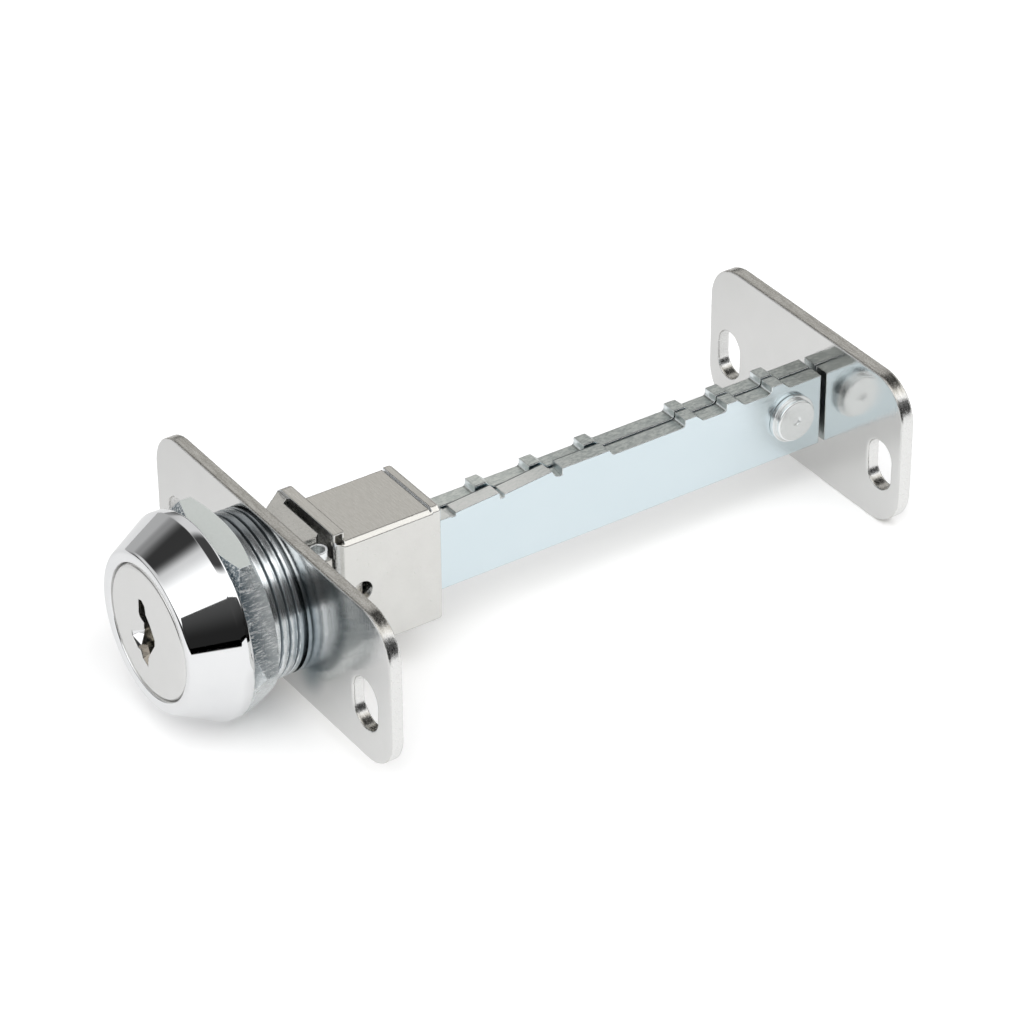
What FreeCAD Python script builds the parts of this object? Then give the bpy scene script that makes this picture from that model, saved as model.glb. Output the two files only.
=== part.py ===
import FreeCAD, Part
import math
import os

# Drawer bar lock: a keyed cylinder works a pair of flat locking bars between two screw plates.
# Units are millimetres. Y runs along the key axis from the key face to the rear plate,
# X is to the right seen from the key, and Z is up. The origin is on the key axis,
# at the front face of the front plate, where the threaded barrel stands on the plate.
# The key plug stands at its unlocked stop: both bars lie level and line up.

Vec = FreeCAD.Vector
CENTRE = Vec(0, 0, 0)
ALONG_X = Vec(1, 0, 0)
ALONG_Y = Vec(0, 1, 0)
ALONG_Z = Vec(0, 0, 1)

# Threaded barrel and its conical head
BARREL_R = 8.0
THREAD_LENGTH = 6.4
HEAD_LENGTH = 5.3
HEAD_FRONT_R = 7.75
HEAD_LAP = 1.95
HEAD_RIM_LENGTH = 1.1
HEAD_FRONT_ROUND = 0.35
HEAD_REAR_BEVEL = 0.25
SPIGOT_R = 6.0
WAFER_GROOVE_WIDTH = 6.2
WAFER_GROOVE_DEPTH = 1.0
WAFER_GROOVE_LENGTH = 7.6

# Key plug
PLUG_FACE_R = 6.5
PLUG_FACE_GAP = 0.28
PLUG_FACE_LENGTH = 1.4
PLUG_FACE_SINK = 0.1
PLUG_FACE_ROUND = 0.45
PLUG_BODY_R = 5.5
PLUG_RUNNING_GAP = 0.05
PLUG_BODY_LENGTH = 8.9
TAIL_R = 3.2
TAIL_END_Y = 2.25
CLIP_GROOVE_R = 2.6
TANG_THICK = 1.4
TANG_WIDTH = 4.4
KEYWAY_END_WALL = 0.6

# Wafers, and the code that sets each window
WAFER_THICK = 0.75
WAFER_PITCH = 1.3
WAFER_FIRST_WALL = 0.6
WAFER_WIDTH = 5.4
WAFER_HEIGHT = 9.2
WAFER_SLOT_GAP = 0.06
WAFER_WINDOW_WIDTH = 3.4
WAFER_WINDOW_HEIGHT = 6.2
WAFER_CODE = [0.3, -0.2, 0.5, 0.0, -0.5, 0.2]

# Retaining clip, crank disc and its pin
CLIP_THICK = 0.6
CLIP_OUTER_R = 4.1
CLIP_GAP = 0.05
CLIP_MOUTH = 4.2
CRANK_DISC_R = 3.6
CRANK_DISC_THICK = 1.25
CRANK_PIN_R = 0.5
CRANK_THROW = 1.55
CRANK_PIN_SHORT = 0.2
QUARTER_TURN = 90.0
REST_ANGLE = -45.0

# Hex nut
NUT_WALL = 1.0
NUT_THICK = 2.9
NUT_TURNED = 22.0
NUT_BEVEL = 0.9

# Front and rear screw plates
PLATE_CENTRE_X = 1.9
PLATE_CENTRE_Z = 0.3
PLATE_HEIGHT = 16.0
PLATE_CORNER_R = 4.2
PLATE_EDGE_ROUND = 0.15
FRONT_WIDTH = 40.0
FRONT_THICK = 1.25
FRONT_SLOT_INSET = 4.3
FRONT_SLOT_WIDTH = 4.0
FRONT_SLOT_HEIGHT = 5.3
FRONT_SLOT_DROP = 2.2
LEFT_SLOT_INSET = 3.6
LEFT_SLOT_WIDTH = 3.4
LEFT_SLOT_DROP = 1.05
REAR_WIDTH = 30.0
REAR_THICK = 1.4
REAR_SLOT_INSET = 3.1
REAR_SLOT_WIDTH = 3.5
REAR_SLOT_HEIGHT = 5.2
REAR_SLOT_DROP = 1.65
PLATE_SPACING = 59.9

# Lock housing block between the front plate and the casing
NECK_LEFT = -1.8
NECK_RIGHT = 5.4
NECK_TOP = 7.7
NECK_WAIST = 4.5
NECK_BOTTOM = -4.2
NECK_ROUND_R = 5.4
NECK_POCKET_R = 4.5
NECK_LENGTH = 2.75
NECK_GROOVE_WIDTH = 0.65
NECK_FRONT_LEFT = -0.7
NECK_REAR_LEFT = -2.85
NECK_WEB_THICK = 1.5
NECK_CORNER_CUT = 0.45
NECK_TIP_CUT = 0.5
SHELF_RIGHT = 7.25
SHELF_TOP = 6.2
STAKE_R = 0.88
STAKE_BORE_R = 0.66
STAKE_BORE_DEPTH = 1.6
STAKE_X = 6.32
STAKE_DEPTH = 1.2
STAKE_RISE = 0.9

# Casing around the front ends of the bars
CASING_WALL = 0.75
CASING_HEADROOM = 0.18
CASING_FLOOR_GAP = 0.48
CASING_SIDE_GAP = 1.45
CASING_LENGTH = 10.0
CASING_BEVEL = 0.4
CASING_CORNER_R = 1.1
FLANGE_THICK = 1.1
FLANGE_SIDE = 2.25
FLANGE_RISE = 0.83
FLANGE_CORNER_R = 1.2
FLANGE_NOTCH = 0.65
LIP_POCKET_DEPTH = 1.2
LIP_POCKET_WALL = 0.18
RIM_WIDTH = 1.05
RIM_RISE = 0.12
RIM_ROUND_R = 0.55
RIM_LINE = 0.2
SIDE_HOLE_R = 1.0
SIDE_HOLE_BEHIND = 2.5
SIDE_HOLE_Z = 1.5
PIN_WINDOW_GAP = 0.5

# Flat bars
BAR_THICK = 1.65
BAR_GAP = 0.2
FAR_BAR_X = 1.5
BAR_BOTTOM = -3.47
BAR_HEIGHT = 7.62
BAR_FRONT_Y = 8.2
BAR_END_GAP = 0.35
TENON_HEIGHT = 4.0
TAB_RISE = 0.76
TAB_WIDTH = 1.25
TAB_SLOPE = 0.85
TAB_ROOT_R = 0.35
TAB_SINK = 0.5
FRONT_TABS = [21.2, 27.15, 33.3]
PAIR_TABS_BEFORE_END = [16.3, 11.48, 6.2]
STEP_STARTS = [17.9, 23.25, 29.65]
STEP_ENDS = [22.65, 28.45, 34.9]
STEP_START_RISES = [0.2, 0.17, 0.62]
STEP_END_RISES = [0.56, 0.68, 0.6]
STEP_SLOPES = [0.12, 0.45, 0.45]
STEP_GROOVE_WIDTH = 0.5
STEP_GROOVE_DEPTH = 0.12

# Lift slider in the casing, and the notch that it works in
SLIDER_SIDE_GAP = 0.1
SLIDER_THICK = 1.5
SLIDER_HALF_HEIGHT = 3.2
SLIDER_END_GAP = 0.35
PIN_SLOT_PLAY = 0.1
LUG_HEIGHT = 2.0
LUG_BOTTOM = 0.1
LUG_LENGTH = 2.4
LUG_SIDE_GAP = 0.15
LUG_PLAY = 0.15
NOTCH_LENGTH = 1.9

# Pivot rivet of the near bar
PIVOT_BEFORE_END = 3.9
PIVOT_Z = 0.8
RIVET_R = 1.3
RIVET_RUNNING_GAP = 0.04
RIVET_HEAD_R = 2.15
RIVET_HEAD_THICK = 0.55
RIVET_HEAD_ROUND = 0.15
RIVET_DIMPLE_R = 0.45
RIVET_DIMPLE_DEPTH = 0.15
COLLAR_R = 2.45
COLLAR_THICK = 0.45
COLLAR_GAP = 0.04
RIVET_TAIL_R = 2.1
RIVET_TAIL_THICK = 0.6

# Spacer that holds the far bar in the casing, and its rivet
SPACER_THICK = 1.7
SPACER_LENGTH = 4.6
SPACER_HEIGHT = 5.0
SPACER_RIVET_R = 1.0
SPACER_RIVET_HEAD_R = 1.8
SPACER_RIVET_HEAD_THICK = 0.5
SPACER_RIVET_Z = 0.8

# Places that follow from the sizes above
HEAD_REAR_Y = -THREAD_LENGTH
HEAD_FRONT_Y = HEAD_REAR_Y - HEAD_LENGTH
HEAD_REAR_R = BARREL_R + HEAD_LAP
PLUG_FACE_Y = HEAD_FRONT_Y + PLUG_FACE_SINK
PLUG_STEP_Y = PLUG_FACE_Y + PLUG_FACE_LENGTH
PLUG_BODY_END_Y = PLUG_STEP_Y + PLUG_BODY_LENGTH
BORE_R = PLUG_BODY_R + PLUG_RUNNING_GAP
WAFER_GROOVE_R = PLUG_BODY_R + WAFER_GROOVE_DEPTH
CLIP_Y = FRONT_THICK + CLIP_GAP
CRANK_Y = TAIL_END_Y
CRANK_END_Y = CRANK_Y + CRANK_DISC_THICK
NUT_FRONT_Y = HEAD_REAR_Y
NUT_FLAT_R = BARREL_R + NUT_WALL
FLANGE_Y = FRONT_THICK + NECK_LENGTH
CASING_Y = FLANGE_Y + FLANGE_THICK
CASING_END_Y = CASING_Y + CASING_LENGTH
SLIDER_Y = CASING_Y + SLIDER_END_GAP
SLIDER_END_Y = SLIDER_Y + SLIDER_THICK
NEAR_BAR_X = FAR_BAR_X + BAR_THICK + BAR_GAP
NEAR_BAR_RIGHT = NEAR_BAR_X + BAR_THICK
BAR_TOP = BAR_BOTTOM + BAR_HEIGHT
BAR_END_Y = PLATE_SPACING - BAR_END_GAP
REAR_Y = PLATE_SPACING
REAR_END_Y = REAR_Y + REAR_THICK
PIN_X = CRANK_THROW * math.cos(math.radians(REST_ANGLE))
PIN_Z = CRANK_THROW * math.sin(math.radians(REST_ANGLE))
LIFT = 2 * CRANK_THROW * math.sin(math.radians(QUARTER_TURN / 2))
PIVOT_Y = PLATE_SPACING - PIVOT_BEFORE_END
PAIR_TABS = [PLATE_SPACING - distance for distance in PAIR_TABS_BEFORE_END]
CASING_IN_LEFT = FAR_BAR_X - SPACER_THICK
CASING_IN_RIGHT = NEAR_BAR_RIGHT + CASING_SIDE_GAP
CASING_IN_TOP = BAR_TOP + LIFT + CASING_HEADROOM
CASING_IN_BOTTOM = BAR_BOTTOM - CASING_FLOOR_GAP
CASING_LEFT = CASING_IN_LEFT - CASING_WALL
CASING_RIGHT = CASING_IN_RIGHT + CASING_WALL
CASING_TOP = CASING_IN_TOP + CASING_WALL
CASING_BOTTOM = CASING_IN_BOTTOM - CASING_WALL
FLANGE_LEFT = CASING_LEFT - FLANGE_SIDE
FLANGE_TOP = CASING_TOP + FLANGE_RISE
SLIDER_LEFT = CASING_IN_LEFT + SLIDER_SIDE_GAP
SLIDER_RIGHT = CASING_IN_RIGHT - SLIDER_SIDE_GAP


def block(x, y, z):
    """A box from three pairs of limits."""
    size = (x[1] - x[0], y[1] - y[0], z[1] - z[0])
    return Part.makeBox(size[0], size[1], size[2], Vec(x[0], y[0], z[0]))


def rod_y(radius, start, end, x=0.0, z=0.0):
    """A round rod along Y."""
    return Part.makeCylinder(radius, end - start, Vec(x, start, z), ALONG_Y)


def rod_x(radius, start, end, y, z):
    """A round rod along X."""
    return Part.makeCylinder(radius, end - start, Vec(start, y, z), ALONG_X)


def turned(profile):
    """A solid turned about the key axis from (radius, y) points."""
    points = [Vec(r, y, 0) for r, y in profile]
    face = Part.Face(Part.makePolygon(points + [points[0]]))
    return face.revolve(CENTRE, ALONG_Y, 360)


def prism_y(outline, start, end):
    """An outline of (x, z) points pulled along Y."""
    points = [Vec(x, start, z) for x, z in outline]
    face = Part.Face(Part.makePolygon(points + [points[0]]))
    return face.extrude(Vec(0, end - start, 0))


def prism_x(outline, start, end):
    """An outline of (y, z) points pulled along X."""
    points = [Vec(start, y, z) for y, z in outline]
    face = Part.Face(Part.makePolygon(points + [points[0]]))
    return face.extrude(Vec(end - start, 0, 0))


def prism_z(outline, start, end):
    """An outline of (x, y) points pulled along Z."""
    points = [Vec(x, y, start) for x, y in outline]
    face = Part.Face(Part.makePolygon(points + [points[0]]))
    return face.extrude(Vec(0, 0, end - start))


def upright_slot(x, z, width, height, start, end):
    """A slot with round ends, its long way up."""
    reach = height / 2 - width / 2
    body = block((x - width / 2, x + width / 2), (start, end), (z - reach, z + reach))
    body = body.fuse(rod_y(width / 2, start, end, x, z + reach))
    body = body.fuse(rod_y(width / 2, start, end, x, z - reach))
    return body.removeSplitter()


def edges_where(shape, test):
    """The edges of a shape whose middle point passes a test."""
    found = []
    for edge in shape.Edges:
        middle = edge.valueAt((edge.FirstParameter + edge.LastParameter) / 2)
        if test(edge, middle):
            found.append(edge)
    return found


def runs_along(edge, axis):
    """True for a straight edge along an axis."""
    if not isinstance(edge.Curve, Part.Line):
        return False
    return abs(abs(edge.Curve.Direction.dot(axis)) - 1) < 1e-6


def screw_plate(width, start, thick, slots):
    """A plate with round corners and upright slots, each given as (x, drop, width, height)."""
    half = width / 2
    low = PLATE_CENTRE_Z - PLATE_HEIGHT / 2
    high = PLATE_CENTRE_Z + PLATE_HEIGHT / 2
    plate = block((PLATE_CENTRE_X - half, PLATE_CENTRE_X + half), (start, start + thick), (low, high))
    corners = edges_where(plate, lambda edge, middle: runs_along(edge, ALONG_Y))
    plate = plate.makeFillet(PLATE_CORNER_R, corners)
    for x, drop, slot_width, slot_height in slots:
        z = PLATE_CENTRE_Z - drop
        plate = plate.cut(upright_slot(x, z, slot_width, slot_height, start - 1, start + thick + 1))
    ends = edges_where(plate, lambda edge, middle: not runs_along(edge, ALONG_Y))
    return plate.makeFillet(PLATE_EDGE_ROUND, ends)


def front_plate():
    """Plate that the barrel stands on, with the hole for its spigot."""
    left = PLATE_CENTRE_X - FRONT_WIDTH / 2 + LEFT_SLOT_INSET
    right = PLATE_CENTRE_X + FRONT_WIDTH / 2 - FRONT_SLOT_INSET
    slots = [
        (left, LEFT_SLOT_DROP, LEFT_SLOT_WIDTH, FRONT_SLOT_HEIGHT),
        (right, FRONT_SLOT_DROP, FRONT_SLOT_WIDTH, FRONT_SLOT_HEIGHT),
    ]
    plate = screw_plate(FRONT_WIDTH, 0.0, FRONT_THICK, slots)
    return plate.cut(rod_y(SPIGOT_R, -1, FRONT_THICK + 1))


def rear_plate():
    """Plate that carries the rear end of the fixed bar, with the hole for its tenon."""
    reach = REAR_WIDTH / 2 - REAR_SLOT_INSET
    slots = [
        (PLATE_CENTRE_X - reach, REAR_SLOT_DROP, REAR_SLOT_WIDTH, REAR_SLOT_HEIGHT),
        (PLATE_CENTRE_X + reach, REAR_SLOT_DROP, REAR_SLOT_WIDTH, REAR_SLOT_HEIGHT),
    ]
    plate = screw_plate(REAR_WIDTH, REAR_Y, REAR_THICK, slots)
    return plate.cut(far_bar_tenon(REAR_Y - 1, REAR_END_Y + 1))


def far_bar_tenon(start, end):
    """Narrow end of the fixed bar that is staked in the rear plate."""
    middle = BAR_BOTTOM + BAR_HEIGHT / 2
    height = (middle - TENON_HEIGHT / 2, middle + TENON_HEIGHT / 2)
    return block((FAR_BAR_X, FAR_BAR_X + BAR_THICK), (start, end), height)


def cylinder_body():
    """Conical head, threaded barrel and spigot in one piece, with the stepped bore."""
    rim_y = HEAD_REAR_Y - HEAD_RIM_LENGTH
    outline = [
        (0, HEAD_FRONT_Y),
        (HEAD_FRONT_R - HEAD_FRONT_ROUND, HEAD_FRONT_Y),
        (HEAD_FRONT_R, HEAD_FRONT_Y + HEAD_FRONT_ROUND),
        (HEAD_REAR_R, rim_y),
        (HEAD_REAR_R, HEAD_REAR_Y - HEAD_REAR_BEVEL),
        (HEAD_REAR_R - HEAD_REAR_BEVEL, HEAD_REAR_Y),
        (BARREL_R, HEAD_REAR_Y),
        (BARREL_R, 0),
        (SPIGOT_R, 0),
        (SPIGOT_R, FRONT_THICK),
        (0, FRONT_THICK),
    ]
    body = turned(outline)
    body = body.cut(rod_y(PLUG_FACE_R + PLUG_FACE_GAP, HEAD_FRONT_Y - 1, PLUG_STEP_Y + PLUG_RUNNING_GAP))
    body = body.cut(rod_y(BORE_R, HEAD_FRONT_Y, PLUG_BODY_END_Y + PLUG_RUNNING_GAP))
    body = body.cut(rod_y(TAIL_R + PLUG_RUNNING_GAP, HEAD_FRONT_Y, FRONT_THICK + 1))
    grooves = rod_y(WAFER_GROOVE_R, PLUG_STEP_Y + PLUG_RUNNING_GAP, PLUG_STEP_Y + WAFER_GROOVE_LENGTH)
    band = block((-WAFER_GROOVE_WIDTH / 2, WAFER_GROOVE_WIDTH / 2),
                 (HEAD_FRONT_Y, FRONT_THICK), (-BARREL_R, BARREL_R))
    return body.cut(grooves.common(band))


def keyway_outline():
    """Crooked keyway, seen from the key side."""
    return [
        (-1.35, 2.9), (-0.75, 3.1), (-0.25, 2.7), (-0.15, 1.9), (0.5, 1.15), (1.25, -0.1),
        (1.2, -0.75), (0.4, -1.95), (-0.1, -2.8), (-0.3, -3.9), (-1.15, -3.5), (-1.45, -2.75),
        (-2.1, -2.75), (-3.0, -2.0), (-3.0, -1.5), (-1.7, -0.7), (-0.65, 0.05), (-0.6, 0.75),
        (-1.2, 1.0), (-1.45, 1.6),
    ]


def wafer_starts():
    """Where each wafer begins along the plug."""
    first = PLUG_STEP_Y + WAFER_FIRST_WALL
    return [first + k * WAFER_PITCH for k in range(len(WAFER_CODE))]


def crank_tang(start, end, gap=0.0):
    """Flat tang on the tail of the plug, square to the line of the crank pin."""
    half = TANG_THICK / 2 + gap
    tang = block((-TANG_WIDTH / 2 - gap, TANG_WIDTH / 2 + gap), (start, end), (-half, half))
    tang.rotate(CENTRE, ALONG_Y, -(REST_ANGLE + 90))
    return tang


def key_plug():
    """Stepped plug with its keyway, wafer slots, clip groove and tang."""
    plug = rod_y(PLUG_FACE_R, PLUG_FACE_Y, PLUG_STEP_Y)
    rim = edges_where(plug, lambda edge, middle: abs(middle.y - PLUG_FACE_Y) < 1e-6)
    plug = plug.makeFillet(PLUG_FACE_ROUND, rim)
    plug = plug.fuse(rod_y(PLUG_BODY_R, PLUG_STEP_Y, PLUG_BODY_END_Y))
    plug = plug.fuse(rod_y(TAIL_R, PLUG_BODY_END_Y, CLIP_Y))
    plug = plug.fuse(rod_y(CLIP_GROOVE_R, CLIP_Y, CLIP_Y + CLIP_THICK))
    plug = plug.fuse(rod_y(TAIL_R, CLIP_Y + CLIP_THICK, TAIL_END_Y))
    plug = plug.fuse(crank_tang(TAIL_END_Y, CRANK_END_Y))
    plug = plug.cut(prism_y(keyway_outline(), PLUG_FACE_Y - 1, PLUG_BODY_END_Y - KEYWAY_END_WALL))
    for start in wafer_starts():
        half = WAFER_WIDTH / 2 + WAFER_SLOT_GAP
        span = (start - WAFER_SLOT_GAP, start + WAFER_THICK + WAFER_SLOT_GAP)
        plug = plug.cut(block((-half, half), span, (-BARREL_R, BARREL_R)))
    return plug.removeSplitter()


def wafer(start, code):
    """Flat wafer with the window that the key passes through."""
    span = (start, start + WAFER_THICK)
    half_width = WAFER_WIDTH / 2
    half_height = WAFER_HEIGHT / 2
    plate = block((-half_width, half_width), span, (-half_height, half_height))
    half_window = WAFER_WINDOW_WIDTH / 2
    low = -WAFER_WINDOW_HEIGHT / 2 + code
    window = block((-half_window, half_window), (start - 1, start + WAFER_THICK + 1),
                   (low, low + WAFER_WINDOW_HEIGHT))
    return plate.cut(window)


def plug_clip():
    """Open ring that keeps the plug in the barrel."""
    ring = rod_y(CLIP_OUTER_R, CLIP_Y, CLIP_Y + CLIP_THICK)
    ring = ring.cut(rod_y(CLIP_GROOVE_R, CLIP_Y - 1, CLIP_Y + CLIP_THICK + 1))
    mouth = block((-CLIP_MOUTH / 2, CLIP_MOUTH / 2), (CLIP_Y - 1, CLIP_Y + CLIP_THICK + 1),
                  (-CLIP_OUTER_R - 1, 0))
    return ring.cut(mouth)


def crank_disc():
    """Disc staked on the tang, with the pin that lifts the slider."""
    disc = rod_y(CRANK_DISC_R, CRANK_Y, CRANK_END_Y)
    disc = disc.cut(crank_tang(CRANK_Y - 1, CRANK_END_Y + 1))
    pin = rod_y(CRANK_PIN_R, CRANK_END_Y, SLIDER_END_Y - CRANK_PIN_SHORT, PIN_X, PIN_Z)
    return disc.fuse(pin).removeSplitter()


def hex_nut():
    """Nut on the barrel, with both faces bevelled down to its flats."""
    corner_r = NUT_FLAT_R / math.cos(math.radians(30))
    corners = []
    for k in range(6):
        angle = math.radians(NUT_TURNED + 30 + 60 * k)
        corners.append((corner_r * math.cos(angle), corner_r * math.sin(angle)))
    nut = prism_y(corners, NUT_FRONT_Y, NUT_FRONT_Y + NUT_THICK)
    far_r = corner_r + 0.01
    hull = turned([
        (0, NUT_FRONT_Y), (NUT_FLAT_R, NUT_FRONT_Y), (far_r, NUT_FRONT_Y + NUT_BEVEL),
        (far_r, NUT_FRONT_Y + NUT_THICK - NUT_BEVEL), (NUT_FLAT_R, NUT_FRONT_Y + NUT_THICK),
        (0, NUT_FRONT_Y + NUT_THICK),
    ])
    nut = nut.common(hull)
    return nut.cut(rod_y(BARREL_R, NUT_FRONT_Y - 1, NUT_FRONT_Y + NUT_THICK + 1))


def neck_outline():
    """Upper part of the block seen from above: a web that widens to the left up to the casing."""
    groove_y = FLANGE_Y - NECK_GROOVE_WIDTH
    web_right = NECK_REAR_LEFT + NECK_WEB_THICK
    return [
        (NECK_FRONT_LEFT, FRONT_THICK), (NECK_RIGHT, FRONT_THICK),
        (NECK_RIGHT, groove_y - NECK_CORNER_CUT), (NECK_RIGHT - NECK_CORNER_CUT, groove_y),
        (web_right + NECK_TIP_CUT, groove_y), (web_right, FLANGE_Y), (NECK_REAR_LEFT, FLANGE_Y),
    ]


def housing_block():
    """Cast block between the front plate and the casing, hollow for the clip and crank."""
    span = (FRONT_THICK, FLANGE_Y)
    body = rod_y(NECK_ROUND_R, span[0], span[1])
    body = body.fuse(block((NECK_LEFT, NECK_RIGHT), span, (NECK_BOTTOM, NECK_WAIST)))
    body = body.fuse(prism_z(neck_outline(), 0, NECK_TOP))
    body = body.fuse(block((NECK_RIGHT - 1, SHELF_RIGHT), (FRONT_THICK, FLANGE_Y - NECK_GROOVE_WIDTH),
                           (NECK_BOTTOM, SHELF_TOP)))
    body = body.cut(rod_y(NECK_POCKET_R, FRONT_THICK - 1, FLANGE_Y + 1))
    body = body.cut(stake_rod(STAKE_R, SHELF_TOP - STAKE_DEPTH, SHELF_TOP + 1))
    return body.removeSplitter()


def stake_rod(radius, low, high):
    """A round rod along Z at the place of the stake."""
    y = FLANGE_Y - NECK_GROOVE_WIDTH - STAKE_R
    return Part.makeCylinder(radius, high - low, Vec(STAKE_X, y, low), ALONG_Z)


def housing_stake():
    """Small hollow stake pressed into the shelf at the right of the block."""
    top = SHELF_TOP + STAKE_RISE
    stake = stake_rod(STAKE_R, SHELF_TOP - STAKE_DEPTH, top)
    return stake.cut(stake_rod(STAKE_BORE_R, top - STAKE_BORE_DEPTH, top + 1))


def bevelled_block(x, y, z):
    """A box whose upper right long edge is bevelled."""
    body = block(x, y, z)
    long_edge = edges_where(body, lambda edge, middle: runs_along(edge, ALONG_Y)
                            and middle.x > x[1] - 0.01 and middle.z > z[1] - 0.01)
    return body.makeChamfer(CASING_BEVEL, long_edge)


def casing_shell():
    """Outside of the casing: round at its front right corner, with a line before its raised rear rim."""
    rim_y = CASING_END_Y - RIM_WIDTH
    shell = bevelled_block((CASING_LEFT, CASING_RIGHT), (FLANGE_Y, rim_y), (CASING_BOTTOM, CASING_TOP))
    corner = edges_where(shell, lambda edge, middle: runs_along(edge, ALONG_Z)
                         and middle.x > CASING_RIGHT - 0.01 and middle.y < FLANGE_Y + 0.01)
    shell = shell.makeFillet(CASING_CORNER_R, corner)
    shell = shell.cut(block((CASING_LEFT - 1, CASING_RIGHT + 1), (rim_y - RIM_LINE, rim_y),
                            (CASING_TOP - RIM_LINE, CASING_TOP + 1)))
    rim = bevelled_block((CASING_LEFT - RIM_RISE, CASING_RIGHT), (rim_y, CASING_END_Y),
                         (CASING_BOTTOM, CASING_TOP + RIM_RISE))
    rear = edges_where(rim, lambda edge, middle: middle.y > CASING_END_Y - 0.01)
    return shell.fuse(rim.makeFillet(RIM_ROUND_R, rear))


def casing_flange():
    """Front flange: a plate to the left of the casing and a lip over it that stops short of the corner."""
    plate = block((FLANGE_LEFT, CASING_LEFT + 1), (FLANGE_Y, CASING_Y), (CASING_BOTTOM, FLANGE_TOP))
    corner = edges_where(plate, lambda edge, middle: runs_along(edge, ALONG_Y)
                         and middle.x < FLANGE_LEFT + 0.01)
    plate = plate.makeFillet(FLANGE_CORNER_R, corner)
    lip = block((CASING_LEFT, CASING_RIGHT - FLANGE_NOTCH), (FLANGE_Y, CASING_Y), (CASING_TOP, FLANGE_TOP))
    return plate.fuse(lip)


def lip_pocket():
    """Hollow in the right end of the lip."""
    end = CASING_RIGHT - FLANGE_NOTCH
    span = (FLANGE_Y + LIP_POCKET_WALL, CASING_Y - LIP_POCKET_WALL)
    return block((end - LIP_POCKET_DEPTH, end + 1), span,
                 (CASING_TOP - LIP_POCKET_WALL, FLANGE_TOP - LIP_POCKET_WALL))


def casing():
    """Pressed casing with a front flange, a rear rim, a hole in its side and a rivet hole."""
    inside = block((CASING_IN_LEFT, CASING_IN_RIGHT), (CASING_Y, CASING_END_Y + 1),
                   (CASING_IN_BOTTOM, CASING_IN_TOP))
    body = casing_shell().fuse(casing_flange()).cut(inside).cut(pin_window()).cut(lip_pocket())
    hole = rod_x(SIDE_HOLE_R, CASING_IN_RIGHT - 0.1, CASING_RIGHT + 1,
                 FLANGE_Y + SIDE_HOLE_BEHIND, SIDE_HOLE_Z)
    body = body.cut(hole).cut(spacer_rivet_shank(CASING_LEFT - 1, CASING_IN_LEFT + 0.1))
    return body.removeSplitter()


def pin_window():
    """Opening in the flange that the crank pin swings in."""
    reach = LIFT / 2 + CRANK_PIN_R + PIN_WINDOW_GAP
    right = CRANK_THROW + CRANK_PIN_R + PIN_WINDOW_GAP
    left = PIN_X - CRANK_PIN_R - PIN_WINDOW_GAP
    return block((left, right), (FLANGE_Y - 1, CASING_Y + 0.1), (-reach, reach))


def spacer_rivet_y():
    """Middle of the spacer along the bar."""
    return BAR_FRONT_Y + SPACER_LENGTH / 2


def spacer_rivet_shank(start, end):
    """Shank of the rivet through casing wall, spacer and fixed bar."""
    return rod_x(SPACER_RIVET_R, start, end, spacer_rivet_y(), SPACER_RIVET_Z)


def spacer():
    """Block between the casing wall and the fixed bar."""
    half = SPACER_HEIGHT / 2
    body = block((CASING_IN_LEFT, FAR_BAR_X), (BAR_FRONT_Y, BAR_FRONT_Y + SPACER_LENGTH),
                 (SPACER_RIVET_Z - half, SPACER_RIVET_Z + half))
    return body.cut(spacer_rivet_shank(CASING_LEFT, FAR_BAR_X + 1))


def spacer_rivet():
    """Rivet that holds casing, spacer and fixed bar together."""
    shank = spacer_rivet_shank(CASING_LEFT, FAR_BAR_X + BAR_THICK)
    head = rod_x(SPACER_RIVET_HEAD_R, CASING_LEFT - SPACER_RIVET_HEAD_THICK, CASING_LEFT,
                 spacer_rivet_y(), SPACER_RIVET_Z)
    return shank.fuse(head).removeSplitter()


def with_tab(bar, start, left):
    """The bar with one raised tab: rounded at its front foot and sloped behind."""
    outline = [
        (start, BAR_TOP - TAB_SINK), (start, BAR_TOP + TAB_RISE), (start + TAB_WIDTH, BAR_TOP + TAB_RISE),
        (start + TAB_WIDTH + TAB_SLOPE, BAR_TOP), (start + TAB_WIDTH + TAB_SLOPE, BAR_TOP - TAB_SINK),
    ]
    bar = bar.fuse(prism_x(outline, left, left + BAR_THICK)).removeSplitter()
    foot = edges_where(bar, lambda edge, middle: runs_along(edge, ALONG_X)
                       and abs(middle.y - start) < 1e-4 and abs(middle.z - BAR_TOP) < 1e-4)
    return bar.makeFillet(TAB_ROOT_R, foot)


def far_bar():
    """Fixed bar: six tabs on top, a tenon behind and a rivet hole at each end."""
    bar = block((FAR_BAR_X, FAR_BAR_X + BAR_THICK), (BAR_FRONT_Y, BAR_END_Y), (BAR_BOTTOM, BAR_TOP))
    for start in FRONT_TABS + PAIR_TABS:
        bar = with_tab(bar, start, FAR_BAR_X)
    bar = bar.fuse(far_bar_tenon(BAR_END_Y, REAR_END_Y))
    bar = bar.cut(spacer_rivet_shank(FAR_BAR_X - 1, FAR_BAR_X + BAR_THICK + 1))
    bar = bar.cut(rod_x(RIVET_R, FAR_BAR_X - 1, FAR_BAR_X + BAR_THICK + 1, PIVOT_Y, PIVOT_Z))
    return bar.removeSplitter()


def step_outline(number):
    """One step of the near bar: a groove's edge in front, a rising top and a short slope behind."""
    start = STEP_STARTS[number]
    end = STEP_ENDS[number]
    foot = end + STEP_SLOPES[number]
    return [
        (start, BAR_TOP - TAB_SINK), (start, BAR_TOP + STEP_START_RISES[number]),
        (end, BAR_TOP + STEP_END_RISES[number]), (foot, BAR_TOP), (foot, BAR_TOP - TAB_SINK),
    ]


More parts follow.
